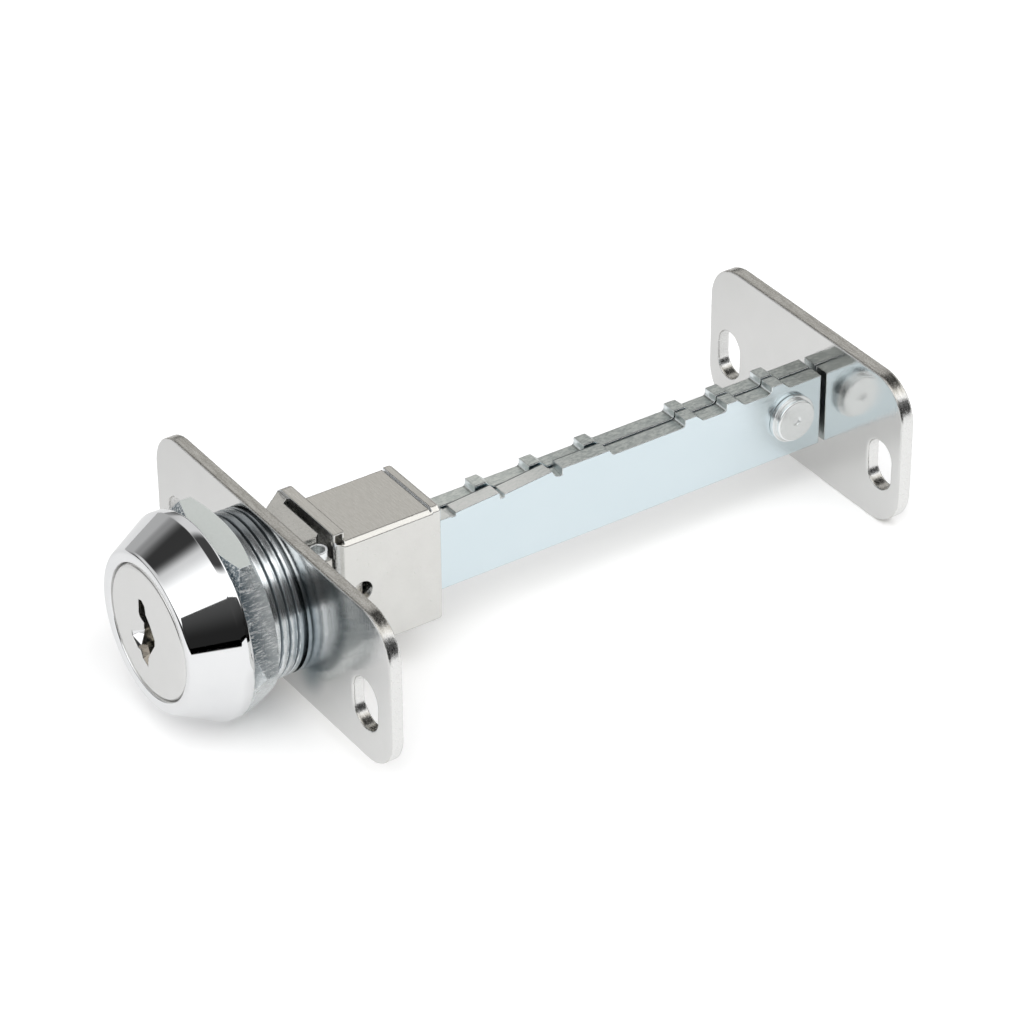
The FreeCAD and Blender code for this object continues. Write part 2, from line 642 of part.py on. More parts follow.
def near_bar():
    """Moving bar: stepped front stretch, three tabs, pivot hole and the notch for the slider."""
    left = NEAR_BAR_X
    bar = block((left, NEAR_BAR_RIGHT), (BAR_FRONT_Y, BAR_END_Y), (BAR_BOTTOM, BAR_TOP))
    for number, start in enumerate(STEP_STARTS):
        bar = bar.fuse(prism_x(step_outline(number), left, NEAR_BAR_RIGHT))
        bar = bar.cut(block((left - 1, NEAR_BAR_RIGHT + 1), (start - STEP_GROOVE_WIDTH, start),
                            (BAR_TOP - STEP_GROOVE_DEPTH, BAR_TOP + 2)))
    bar = bar.removeSplitter()
    for start in PAIR_TABS:
        bar = with_tab(bar, start, left)
    bar = bar.cut(rod_x(RIVET_R + RIVET_RUNNING_GAP, left - 1, NEAR_BAR_RIGHT + 1, PIVOT_Y, PIVOT_Z))
    notch = block((left - 1, NEAR_BAR_RIGHT + 1), (BAR_FRONT_Y - 1, BAR_FRONT_Y + NOTCH_LENGTH),
                  (LUG_BOTTOM - LUG_PLAY, LUG_BOTTOM + LUG_HEIGHT + LUG_PLAY))
    return bar.cut(notch).removeSplitter()


def lift_slider():
    """Plate that slides up and down in the casing, with the slot for the pin and the lug."""
    span = (SLIDER_Y, SLIDER_END_Y)
    body = block((SLIDER_LEFT, SLIDER_RIGHT), span, (-SLIDER_HALF_HEIGHT, SLIDER_HALF_HEIGHT))
    slot_half = CRANK_PIN_R + PIN_SLOT_PLAY
    slot_end = CRANK_THROW + CRANK_PIN_R + PIN_SLOT_PLAY
    body = body.cut(block((SLIDER_LEFT - 1, slot_end), (SLIDER_Y - 1, SLIDER_END_Y + 1),
                          (PIN_Z - slot_half, PIN_Z + slot_half)))
    lug = block((NEAR_BAR_X + LUG_SIDE_GAP, NEAR_BAR_RIGHT - LUG_SIDE_GAP),
                (SLIDER_END_Y, SLIDER_END_Y + LUG_LENGTH), (LUG_BOTTOM, LUG_BOTTOM + LUG_HEIGHT))
    return body.fuse(lug).removeSplitter()


def pivot_rivet():
    """Rivet through both bars, with a flat head on the near side."""
    face_x = NEAR_BAR_RIGHT + COLLAR_GAP + COLLAR_THICK
    end_x = face_x + RIVET_HEAD_THICK
    body = rod_x(RIVET_R, FAR_BAR_X, face_x, PIVOT_Y, PIVOT_Z)
    head = rod_x(RIVET_HEAD_R, face_x, end_x, PIVOT_Y, PIVOT_Z)
    rim = edges_where(head, lambda edge, middle: abs(middle.x - end_x) < 1e-6)
    head = head.makeFillet(RIVET_HEAD_ROUND, rim)
    tail = rod_x(RIVET_TAIL_R, FAR_BAR_X - RIVET_TAIL_THICK, FAR_BAR_X, PIVOT_Y, PIVOT_Z)
    body = body.fuse(head).fuse(tail)
    dimple = rod_x(RIVET_DIMPLE_R, end_x - RIVET_DIMPLE_DEPTH, end_x + 1, PIVOT_Y, PIVOT_Z)
    return body.cut(dimple).removeSplitter()


def pivot_collar():
    """Washer under the head of the pivot rivet."""
    start = NEAR_BAR_RIGHT + COLLAR_GAP
    ring = rod_x(COLLAR_R, start, start + COLLAR_THICK, PIVOT_Y, PIVOT_Z)
    return ring.cut(rod_x(RIVET_R, start - 1, start + COLLAR_THICK + 1, PIVOT_Y, PIVOT_Z))


def all_parts():
    """Every piece by its name."""
    parts = {
        "cylinder_body": cylinder_body(),
        "key_plug": key_plug(),
        "plug_clip": plug_clip(),
        "crank_disc": crank_disc(),
        "hex_nut": hex_nut(),
        "front_plate": front_plate(),
        "housing_block": housing_block(),
        "housing_stake": housing_stake(),
        "casing": casing(),
        "spacer": spacer(),
        "spacer_rivet": spacer_rivet(),
        "lift_slider": lift_slider(),
        "far_bar": far_bar(),
        "near_bar": near_bar(),
        "pivot_rivet": pivot_rivet(),
        "pivot_collar": pivot_collar(),
        "rear_plate": rear_plate(),
    }
    for number, (start, code) in enumerate(zip(wafer_starts(), WAFER_CODE), 1):
        parts["wafer_%d" % number] = wafer(start, code)
    return parts


os.makedirs("parts", exist_ok=True)
for name, shape in all_parts().items():
    shape.exportStep("parts/%s.step" % name)
    print(name, len(shape.Solids), shape.isValid(), round(shape.Volume, 2))
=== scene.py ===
import bmesh
import bpy
import math
from mathutils import Matrix, Vector


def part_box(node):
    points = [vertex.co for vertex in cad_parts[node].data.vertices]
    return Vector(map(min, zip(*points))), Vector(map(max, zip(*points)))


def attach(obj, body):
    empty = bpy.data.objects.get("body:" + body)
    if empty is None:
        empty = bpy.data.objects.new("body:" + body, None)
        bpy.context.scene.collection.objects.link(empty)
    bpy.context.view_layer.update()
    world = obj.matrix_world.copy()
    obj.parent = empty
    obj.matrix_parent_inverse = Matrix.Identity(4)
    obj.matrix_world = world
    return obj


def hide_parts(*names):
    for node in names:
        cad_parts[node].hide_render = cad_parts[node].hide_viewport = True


# Drawer bar lock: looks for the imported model. Lengths are in metres, unless a comment says millimetres.
# The frame has +Y along the key axis towards the rear plate, +X right seen from the key, +Z up.

MM = 0.001

# Camera, solved from the edges of the plates, the bars and the head
VIEW_AZIMUTH = 56.081
VIEW_ELEVATION = 34.027
VIEW_ROLL = -0.348
VIEW_TARGET = Vector((0, 30 * MM, 0))
VIEW_RIGHT = 2.149 * MM
VIEW_UP = 2.477 * MM
VIEW_DISTANCE = 387.1 * MM
VIEW_NEAREST = 0.01
VIEW_FARTHEST = 10.0
FOCAL_PIXELS = 4153.0
IMAGE_PIXELS = 1024.0
SENSOR_WIDTH = 36.0

# Head and threaded barrel, as in the solid that they stand for
BARREL_R = 8.0 * MM
HEAD_LENGTH = 5.3 * MM
HEAD_FRONT_R = 7.75 * MM
HEAD_RIM_LENGTH = 1.1 * MM
HEAD_EDGE_ROUND = 0.22 * MM
RING_TILT = 0.12 * MM
RING_EDGE = 0.05 * MM
FACE_BORE_R = 6.61 * MM
FACE_BORE_LENGTH = 1.55 * MM
BODY_BORE_R = 5.55 * MM
SPIGOT_R = 6.0 * MM
THREAD_PITCH = 0.87 * MM
THREAD_DEPTH = 0.34 * MM
THREAD_GROOVE_SHARE = 0.40
THREAD_CROWN = 0.02 * MM
BARREL_END_NECK = 0.22 * MM
TURN_STEPS = 256
ROWS_PER_TURN = 28
SHARP_ANGLE = 50

# Materials of the cylinder, and the row of its profile that is the wall of the bore round the plug's face
HEAD_SLOT = 0
THREAD_SLOT = 1
BORE_SLOT = 2
BORE_WALL_ROW = 2

# Thread: where it faces less to the right than this it turns grey with painted shade, by this share
THREAD_TOP_SHADE_START = 0.36
THREAD_TOP_SHADE_END = 0.12
THREAD_TOP_SHADE_SHARE = 0.8

# Nut: painted light and shade on its cut flats, bright below one height, dark in front above another, and
# clearer at the rear
NUT_LIT_BELOW = -6.0 * MM
NUT_SHADED_ABOVE = 3.0 * MM
NUT_REAR_LIGHT_SHARE = 0.6

# Front plate: the arc beside the barrel where a painted reflection of the barrel makes its nickel darker
BARREL_REFLECTION_LEFT = 5.0 * MM
BARREL_REFLECTION_RIGHT = 8.5 * MM
BARREL_REFLECTION_LOW = -7.5 * MM
BARREL_REFLECTION_HIGH = -4.0 * MM
BARREL_REFLECTION_INNER = 9.6 * MM
BARREL_REFLECTION_OUTER = 12.0 * MM

# Bars: width of the line of painted shade where they meet, and where the painted highlight on the front
# part of their edges ends
BAR_GAP_SHADE_WIDTH = 0.16 * MM
BAR_HIGHLIGHT_START = 24 * MM
BAR_HIGHLIGHT_END = 33 * MM

# Lead-in of the keyway in millimetres: lower left edge as (x, z) on the plug's face, inner edge as
# (x, depth, z), and how far its hidden back lies left of and below the edge
LEAD_EDGE = [(-3.02, -1.45), (-3.05, -2.02), (-2.12, -2.82), (-1.48, -2.82), (-1.2, -3.52), (-0.3, -3.95)]
LEAD_INNER = [
    (-2.25, 1.1, -0.95), (-2.4, 1.1, -1.45), (-1.85, 0.35, -2.45),
    (-1.1, 0.6, -2.2), (-0.85, 0.6, -2.95), (-0.15, 0.4, -3.55),
]
LEAD_WALL = (0.18, 0.2)
LEAD_SUNK = 0.04 * MM
LEAD_SOFT_EDGE = 0.05 * MM
LEAD_BRIGHT_FACES = (1, 5)

# Colours of the metals, with a darker and a lighter tone where they vary
CHROME = ((0.80, 0.81, 0.82), (0.86, 0.865, 0.87))
BORE_WALL = ((0.68, 0.68, 0.67), (0.78, 0.78, 0.77))
THREAD_CREST = ((0.76, 0.80, 0.82), (0.92, 0.95, 0.97))
# Painted shade in the thread's grooves
THREAD_GROOVE_SHADE = (0.40, 0.43, 0.45)
# Painted grey shade where the thread faces away from the right
THREAD_TOP_SHADE = (0.14, 0.16, 0.17)
PLUG_FACE = ((0.71, 0.71, 0.70), (0.75, 0.75, 0.74))
PLATE_FACE = ((0.68, 0.68, 0.67), (0.74, 0.74, 0.73))
PLATE_EDGE = ((0.42, 0.405, 0.37), (0.62, 0.605, 0.565))
PLATE_END = (0.80, 0.80, 0.79)
# Painted dark reflection of the barrel on the front plate
PLATE_BARREL_REFLECTION = (0.30, 0.34, 0.36)
CASING_SIDE = ((0.69, 0.685, 0.66), (0.77, 0.765, 0.74))
CASING_TOP = ((0.60, 0.58, 0.535), (0.70, 0.68, 0.63))
# Painted highlight on the casing's faces towards front and rear
CASING_END_HIGHLIGHT = (0.93, 0.95, 0.98)
CASING_SPOT = (0.42, 0.405, 0.375)
CAST = ((0.56, 0.55, 0.515), (0.68, 0.665, 0.625))
BAR_SIDE = ((0.69, 0.79, 0.83), (0.74, 0.825, 0.86))
BAR_TOP = ((0.40, 0.435, 0.42), (0.70, 0.73, 0.695))
# Painted highlight on the end faces of the bars
BAR_END_HIGHLIGHT = (0.84, 0.90, 0.91)
# Painted shade in the gap where the bars meet
BAR_GAP_SHADE = (0.10, 0.12, 0.12)
# Painted highlight along the corners of the bars
BAR_EDGE_HIGHLIGHT = (0.97, 0.98, 0.98)
# Painted highlights on the front part of the bars' top edges, brighter on the near bar
NEAR_BAR_HIGHLIGHT = ((0.86, 0.88, 0.84), (1.0, 1.0, 0.97))
FAR_BAR_HIGHLIGHT = ((0.58, 0.62, 0.59), (0.86, 0.89, 0.84))
NUT_GROUND = ((0.78, 0.82, 0.79), (0.85, 0.89, 0.86))
# Painted shade in front above, and painted light below and at the rear, on the nut's cut flats
NUT_CUT_SHADE_AND_LIGHT = ((0.10, 0.14, 0.17), (0.96, 1.0, 1.0))
NUT_LINE = (0.98, 1.0, 1.0)
# Painted highlight along the nut's edges
NUT_EDGE_HIGHLIGHT = (0.95, 0.98, 0.99)
NUT_END = (0.50, 0.55, 0.57)
STEEL = ((0.86, 0.88, 0.88), (0.92, 0.94, 0.94))
KEYWAY_BRASS = ((0.30, 0.265, 0.22), (0.50, 0.46, 0.40))
WAFER_BRASS = ((0.70, 0.62, 0.48), (0.84, 0.77, 0.64))

# Shading: samples of rounded edges, and the colour sockets of a mix node
EDGE_SAMPLES = 8
MIX_FIRST = 6
MIX_SECOND = 7
MIX_RESULT = 2

# Floor: it touches the head's rim and the lower edge of the rear plate
FLOOR_SIZE = 3.0
FLOOR_COLOUR = 0.95
FLOOR_GLOW = 0.15
FLOOR_MIRROR_COLOUR = 0.62
FLOOR_MIRROR_GLOW = 0.30
FLOOR_FADE_LEFT = -50 * MM
FLOOR_FADE_RIGHT = 5 * MM
FLOOR_LEFT_LEVEL = 0.84
FLOOR_RIGHT_LEVEL = 1.06
FLOOR_DARK_SIDE = Vector((0.83, -0.558, 0))
FLOOR_DARK_START = 112 * MM
FLOOR_DARK_END = 124 * MM

# Studio: how bright each part of the room looks in the metal. A start is the two cosines to a direction
# between which a part begins, and a part is a direction with the two angles between which it ends
UP = (0.0, 0.0, 1.0)
DOWN = (0.0, 0.0, -1.0)
ROOM_LEVEL = 0.72
BAND_AXIS = (0.866, 0.0, -0.5)
BAND_START = (-0.62, -0.16)
BAND_END = (0.27, 0.40)
BAND_LEVEL = 1.5
HORIZON_START = (-0.28, -0.14)
HORIZON_LEVEL = 0.05
SIDE_PART = ((-0.98, -0.02, 0.18), 12, 34)
SIDE_LEVEL = 0.46
DARK_START = (0.262, 0.272)
DARK_PART = ((0.90, -0.10, 0.25), 50, 62)
DARK_LEVEL = 0.02
DARK_TOP_START = (0.15, 0.62)
DARK_TOP_LEVEL = 0.08
SHADED_PARTS = [
    (((-0.85, -0.12, 0.52), 3, 15), 0.28),
    (((-0.56, -0.19, 0.80), 9, 26), 0.04),
    (((-0.12, 0.43, 0.89), 16, 30), 0.06),
]
SUN_STRENGTH = 1.25
SUN_WIDTH = 95
SUN_FROM = Vector((0.25, -0.10, 1.0))


class Shade:
    """A node material that is built with short calls. Its edges and reliefs are given in millimetres."""

    def __init__(self, name, metallic=1.0):
        self.material = bpy.data.materials.new(name)
        self.material.use_nodes = True
        self.tree = self.material.node_tree
        self.tree.nodes.clear()
        self.coordinates = self.new("TexCoord").outputs
        self.shader = self.new("BsdfPrincipled")
        self.output = self.new("OutputMaterial")
        self.fill(self.output.inputs["Surface"], self.shader.outputs["BSDF"])
        self.set("Metallic", metallic)

    def new(self, kind):
        """A shader node of a kind."""
        return self.tree.nodes.new("ShaderNode" + kind)

    def fill(self, socket, value):
        """Joins an input to a socket, or gives it a number, a vector or a colour."""
        if isinstance(value, bpy.types.NodeSocket):
            self.tree.links.new(value, socket)
        elif socket.type == "RGBA":
            socket.default_value = (*value, 1.0)
        else:
            socket.default_value = value

    def set(self, name, value):
        """An input of the shader from a number, a colour or a socket."""
        self.fill(self.shader.inputs[name], value)

    def noise(self, cells, detail=3.0, rough=0.55, turn=0):
        """Noise with a number of cells per millimetre, or one for each axis, turned about Z by degrees."""
        if isinstance(cells, float):
            cells = (cells, cells, cells)
        mapping = self.new("Mapping")
        self.fill(mapping.inputs["Vector"], self.coordinates["Object"])
        self.fill(mapping.inputs["Scale"], [count / MM for count in cells])
        self.fill(mapping.inputs["Rotation"], (0, 0, math.radians(turn)))
        node = self.new("TexNoise")
        self.fill(node.inputs["Vector"], mapping.outputs["Vector"])
        self.fill(node.inputs["Scale"], 1.0)
        self.fill(node.inputs["Detail"], detail)
        self.fill(node.inputs["Roughness"], rough)
        return node.outputs["Fac"]

    def spread(self, value, low, high, to_low=0.0, to_high=1.0):
        """A value stretched from one range to another, without going past it."""
        node = self.new("MapRange")
        node.interpolation_type = "SMOOTHSTEP"
        self.fill(node.inputs["Value"], value)
        self.fill(node.inputs["From Min"], low)
        self.fill(node.inputs["From Max"], high)
        self.fill(node.inputs["To Min"], to_low)
        self.fill(node.inputs["To Max"], to_high)
        return node.outputs["Result"]

    def vary(self, noise, low, high):
        """A number that follows a noise over its usual range."""
        return self.spread(noise, 0.3, 0.7, low, high)

    def patches(self, noise):
        """A noise turned into clear patches."""
        return self.spread(noise, 0.35, 0.65)

    def math(self, operation, *values):
        """One arithmetic node on sockets or numbers."""
        node = self.new("Math")
        node.operation = operation
        for socket, value in zip(node.inputs, values):
            self.fill(socket, value)
        return node.outputs["Value"]

    def times(self, first, second):
        """The product of two values."""
        return self.math("MULTIPLY", first, second)

    def opposite(self, mask):
        """One where a mask is zero, and zero where it is one."""
        return self.math("SUBTRACT", 1.0, mask)

    def choose(self, mask, inside, outside):
        """One value where a mask is one, and another where it is zero."""
        return self.math("ADD", self.times(mask, inside), self.times(self.opposite(mask), outside))

    def vector(self, operation, *values):
        """One vector node on sockets or constant vectors."""
        node = self.new("VectorMath")
        node.operation = operation
        for socket, value in zip(node.inputs, values):
            self.fill(socket, value)
        return node

    def mix(self, factor, first, second):
        """A blend of two colours, each a colour or a socket."""
        node = self.new("Mix")
        node.data_type = "RGBA"
        self.fill(node.inputs["Factor"], factor)
        self.fill(node.inputs[MIX_FIRST], first)
        self.fill(node.inputs[MIX_SECOND], second)
        return node.outputs[MIX_RESULT]

    def part(self, vector, axis):
        """One axis of a vector."""
        split = self.new("SeparateXYZ")
        self.fill(split.inputs["Vector"], vector)
        return split.outputs[axis]

    def place(self, axis):
        """Where the surface lies along an axis of the object."""
        return self.part(self.coordinates["Object"], axis)

    def direction(self, axis):
        """How far the surface faces along an axis of the object."""
        return self.part(self.coordinates["Normal"], axis)

    def facing(self, axis, low=0.6, high=0.8):
        """One where the surface faces along an axis of the object, either way."""
        return self.spread(self.math("ABSOLUTE", self.direction(axis)), low, high)

    def ahead(self):
        """One where the surface faces the key side."""
        return self.spread(self.direction("Y"), -0.8, -0.6, 1.0, 0.0)

    def radius(self):
        """Distance from the key axis of the object."""
        flat = self.vector("MULTIPLY", self.coordinates["Object"], (1, 0, 1))
        return self.vector("LENGTH", flat.outputs["Vector"]).outputs["Value"]

    def rounded(self, edge):
        """The surface direction with every edge rounded."""
        bevel = self.new("Bevel")
        bevel.samples = EDGE_SAMPLES
        self.fill(bevel.inputs["Radius"], edge * MM)
        return bevel.outputs["Normal"]

    def edges(self, width):
        """One along the edges, zero on open surfaces."""
        plain = self.new("NewGeometry").outputs["Normal"]
        bend = self.vector("DOT_PRODUCT", self.rounded(width), plain).outputs["Value"]
        return self.spread(bend, 0.78, 0.98, 1.0, 0.0)

    def bump(self, heights, edge):
        """Rounded edges and a list of (height, depth) reliefs."""
        normal = self.rounded(edge)
        for height, depth in heights:
            node = self.new("Bump")
            self.fill(node.inputs["Strength"], 1.0)
            self.fill(node.inputs["Distance"], depth * MM)
            self.fill(node.inputs["Height"], height)
            self.fill(node.inputs["Normal"], normal)
            normal = node.outputs["Normal"]
        self.set("Normal", normal)


def bright_chrome():
    """Mirror chrome of the head, with faint haze."""
    shade = Shade("bright_chrome")
    haze = shade.noise(0.35, detail=2.0)
    waves = shade.noise(0.5)
    shade.set("Base Color", shade.mix(haze, *CHROME))
    shade.set("Roughness", shade.vary(haze, 0.03, 0.06))
    shade.bump([(waves, 0.0006)], 0.06)
    return shade.material


def bore_satin():
    """Satin wall of the bore round the plug's face."""
    shade = Shade("bore_satin", metallic=0.6)
    grain = shade.noise(3.0, detail=2.0)
    shade.set("Base Color", shade.mix(grain, *BORE_WALL))
    shade.set("Roughness", 0.5)
    return shade.material


def thread_steel():
    """Zinc on the rolled thread: lines along each turn, and painted shade, in the grooves and grey on top.
    """
    shade = Shade("thread_steel", metallic=0.94)
    lines = shade.noise((0.4, 7.0, 0.4))
    stain = shade.noise((0.9, 1.8, 0.9))
    zinc = shade.mix(shade.patches(stain), *THREAD_CREST)
    # Painted shade: the grooves are darker than the crests
    crest = shade.spread(shade.radius(), BARREL_R - 0.75 * THREAD_DEPTH, BARREL_R - 0.12 * THREAD_DEPTH)
    plain = shade.mix(crest, THREAD_GROOVE_SHADE, zinc)
    # Painted grey shade on the thread where it faces away from the right
    top = shade.spread(shade.direction("X"), THREAD_TOP_SHADE_END, THREAD_TOP_SHADE_START, THREAD_TOP_SHADE_SHARE, 0.0)
    shade.set("Base Color", shade.mix(top, plain, THREAD_TOP_SHADE))
    shade.set("Roughness", shade.vary(lines, 0.18, 0.26))
    shade.bump([(lines, 0.0015)], 0.03)
    return shade.material


def satin_plug():
    """Satin nickel face of the plug."""
    shade = Shade("satin_plug")
    fine = shade.noise(9.0, detail=2.0)
    haze = shade.noise(0.6, detail=2.0)
    shade.set("Base Color", shade.mix(haze, *PLUG_FACE))
    shade.set("Roughness", 0.17)
    shade.bump([(fine, 0.0008)], 0.10)
    return shade.material


def painted_barrel_reflection(shade):
    """One on the arc of the front plate beside the barrel, where the barrel's dark reflection is painted.
    """
    right = shade.spread(shade.place("X"), BARREL_REFLECTION_LEFT, BARREL_REFLECTION_RIGHT)
    above = shade.spread(shade.place("Z"), BARREL_REFLECTION_LOW, BARREL_REFLECTION_HIGH)
    ring = shade.spread(shade.radius(), BARREL_REFLECTION_INNER, BARREL_REFLECTION_OUTER, 1.0, 0.0)
    return shade.times(shade.times(shade.times(right, ring), above), shade.ahead())


def nickel_plate(name, barrel_reflection=False):
    """Bright nickel faces with fine upright lines and satin grey edges of a screw plate, and a painted
    barrel reflection if asked.
    """
    shade = Shade(name)
    face = shade.facing("Y")
    rest = shade.opposite(face)
    haze = shade.noise(0.22)
    ripple = shade.noise((0.09, 0.09, 0.5), detail=2.0)
    fine = shade.noise((9.0, 1.0, 0.5))
    drawn = shade.noise((0.5, 4.0, 0.5), detail=4.0)
    pits = shade.noise(5.0, detail=4.0, rough=0.65)
    speckle = shade.math("ADD", shade.times(drawn, 0.5), shade.times(pits, 0.5))
    front = shade.mix(haze, *PLATE_FACE)
    # Painted dark reflection of the barrel beside it
    if barrel_reflection:
        front = shade.mix(painted_barrel_reflection(shade), front, PLATE_BARREL_REFLECTION)
    satin = shade.mix(shade.spread(speckle, 0.38, 0.62), *PLATE_EDGE)
    edge = shade.mix(shade.facing("X"), satin, PLATE_END)
    shade.set("Base Color", shade.mix(face, edge, front))
    shade.set("Roughness", shade.choose(face, shade.vary(haze, 0.06, 0.09), shade.vary(pits, 0.18, 0.30)))
    upright = shade.times(face, fine)
    worn = shade.times(rest, speckle)
    shade.bump([(ripple, 0.012), (upright, 0.006), (worn, 0.010)], 0.30)
    return shade.material


def brushed_nickel():
    """Casing: brushed top and hazy sides, with a painted highlight on the faces towards front and rear."""
    shade = Shade("brushed_nickel")
    top = shade.facing("Z")
    brushed = shade.noise((1.0, 7.0, 7.0), detail=4.0, rough=0.65, turn=12)
    haze = shade.noise(0.45, detail=4.0)
    spots = shade.noise(2.5, detail=4.0, rough=0.7)
    side = shade.mix(haze, *CASING_SIDE)
    crown = shade.mix(shade.patches(brushed), *CASING_TOP)
    # Painted highlight on the faces towards front and rear
    front = shade.mix(shade.facing("Y"), side, CASING_END_HIGHLIGHT)
    plain = shade.mix(top, front, crown)
    shade.set("Base Color", shade.mix(shade.spread(spots, 0.62, 0.76, 0.0, 0.3), plain, CASING_SPOT))
    shade.set("Roughness", shade.vary(brushed, 0.18, 0.28))
    shade.bump([(haze, 0.008), (shade.times(top, brushed), 0.004)], 0.16)
    return shade.material


def cast_nickel():
    """Cast block behind the front plate."""
    shade = Shade("cast_nickel")
    grain = shade.noise(4.0, detail=4.0, rough=0.65)
    broad = shade.noise(0.8)
    shade.set("Base Color", shade.mix(broad, *CAST))
    shade.set("Roughness", shade.vary(grain, 0.18, 0.32))
    shade.bump([(grain, 0.006), (broad, 0.02)], 0.16)
    return shade.material


def zinc_bar(name, seam, edge_highlight):
    """Pale blue zinc bars: smooth sides, milled edges with painted highlights, a dark line of painted
    shade where they meet.
    """
    shade = Shade(name)
    side = shade.facing("X")
    rest = shade.opposite(side)
    cloud = shade.noise((0.10, 0.10, 0.16))
    rolled = shade.noise((2.0, 0.25, 7.0))
    milled = shade.noise((4.0, 1.6, 4.0), detail=5.0, rough=0.75, turn=12)
    marks = shade.patches(milled)
    # Painted highlight on the front part of the top edges, ending towards the rear
    behind = shade.spread(shade.place("Y"), BAR_HIGHLIGHT_START, BAR_HIGHLIGHT_END)
    top = shade.mix(behind, shade.mix(marks, *edge_highlight), shade.mix(marks, *BAR_TOP))
    # Painted highlight on the end faces
    edge = shade.mix(shade.facing("Y"), top, BAR_END_HIGHLIGHT)
    # Painted shade in the gap where the bars meet, on the tops beside it
    away = shade.math("ABSOLUTE", shade.math("SUBTRACT", shade.place("X"), seam))
    gap_shade = shade.times(shade.facing("Z"), shade.spread(away, 0.5 * BAR_GAP_SHADE_WIDTH, BAR_GAP_SHADE_WIDTH, 1.0, 0.0))
    lined = shade.mix(gap_shade, edge, BAR_GAP_SHADE)
    plain = shade.mix(side, lined, shade.mix(cloud, *BAR_SIDE))
    # Painted highlight along the corners
    shade.set("Base Color", shade.mix(shade.edges(0.14), plain, BAR_EDGE_HIGHLIGHT))
    smooth = shade.vary(rolled, 0.19, 0.25)
    shade.set("Roughness", shade.choose(side, smooth, shade.vary(milled, 0.28, 0.40)))
    shade.bump([(rolled, 0.0012), (shade.times(rest, milled), 0.012)], 0.16)
    return shade.material


def zinc_nut(front, rear):
    """Zinc nut: dull ground flats above and below, the others with short mill lines, darker in front with
    painted shade.
    """
    shade = Shade("zinc_nut", metallic=0.7)
    lines = shade.noise((5.0, 0.9, 5.0), detail=5.0, rough=0.8, turn=8)
    grain = shade.noise(3.0, detail=4.0)
    shadow = shade.noise((0.35, 0.7, 0.35), detail=2.0)
    ground = shade.facing("Z", 0.93, 0.97)
    cut = shade.opposite(ground)
    # Painted light at the rear and below, and painted shade in front above, on the cut flats
    behind = shade.spread(shade.place("Y"), front, rear, 0.0, NUT_REAR_LIGHT_SHARE)
    below = shade.spread(shade.place("Z"), NUT_LIT_BELOW, NUT_SHADED_ABOVE, 1.0, 0.0)
    base = shade.mix(shade.math("MAXIMUM", behind, below), *NUT_CUT_SHADE_AND_LIGHT)
    lined = shade.mix(shade.spread(lines, 0.47, 0.64), base, NUT_LINE)
    worked = shade.mix(ground, lined, shade.mix(grain, *NUT_GROUND))
    # Painted highlight along the edges
    outer = shade.mix(shade.edges(0.16), worked, NUT_EDGE_HIGHLIGHT)
    shade.set("Base Color", shade.mix(shade.facing("Y", 0.97, 0.99), outer, NUT_END))
    shade.set("Roughness", shade.choose(ground, 0.36, shade.spread(shadow, 0.35, 0.65, 0.12, 0.34)))
    shade.bump([(shade.times(cut, lines), 0.05)], 0.14)
    return shade.material


def plain_steel():
    """Rivets, clip and other small plated pieces."""
    shade = Shade("plain_steel", metallic=0.85)
    grain = shade.noise(2.5, detail=4.0)
    shade.set("Base Color", shade.mix(grain, *STEEL))
    shade.set("Roughness", shade.vary(grain, 0.16, 0.26))
    shade.bump([(grain, 0.003)], 0.12)
    return shade.material


def worn_brass():
    """Brown worn metal in the mouth of the keyway."""
    shade = Shade("worn_brass")
    grain = shade.noise(2.0)
    shade.set("Base Color", shade.mix(grain, *KEYWAY_BRASS))
    shade.set("Roughness", shade.vary(grain, 0.2, 0.34))
    return shade.material


def wafer_brass():
    """Stamped brass of the wafers."""
    shade = Shade("wafer_brass")
    grain = shade.noise(3.0)
    shade.set("Base Color", shade.mix(grain, *WAFER_BRASS))
    shade.set("Roughness", shade.vary(grain, 0.2, 0.38))
    shade.bump([(grain, 0.01)], 0.05)
    return shade.material


def dress_nodes(nodes):
    """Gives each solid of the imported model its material."""
    nut_low, nut_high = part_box("hex_nut")
    near_left = min(corner[0] for corner in nodes["near_bar"].bound_box)
    far_right = max(corner[0] for corner in nodes["far_bar"].bound_box)
    steel = plain_steel()
    cast = cast_nickel()
    brass = wafer_brass()
    wanted = {
        "key_plug": satin_plug(),
        "hex_nut": zinc_nut(nut_low.y, nut_high.y),
        "casing": brushed_nickel(),
        "front_plate": nickel_plate("barrel_reflection_plate", barrel_reflection=True),
        "rear_plate": nickel_plate("nickel_plate"),
        "far_bar": zinc_bar("far_bar_zinc", far_right, FAR_BAR_HIGHLIGHT),
        "near_bar": zinc_bar("near_bar_zinc", near_left, NEAR_BAR_HIGHLIGHT),
        "housing_block": cast,
        "lift_slider": cast,
    }
    for name, node in nodes.items():
        material = wanted.get(name, brass if name.startswith("wafer") else steel)
        node.data.materials.clear()
        node.data.materials.append(material)


def add_piece(name, mesh):
    """An object in the scene from a mesh."""
    piece = bpy.data.objects.new(name, mesh)
    bpy.context.scene.collection.objects.link(piece)
    return piece


def fix_outward(piece):
    """Turns every face of a closed mesh outwards."""
    work = bmesh.new()
    work.from_mesh(piece.data)
    bmesh.ops.recalc_face_normals(work, faces=work.faces)
    work.to_mesh(piece.data)
    work.free()


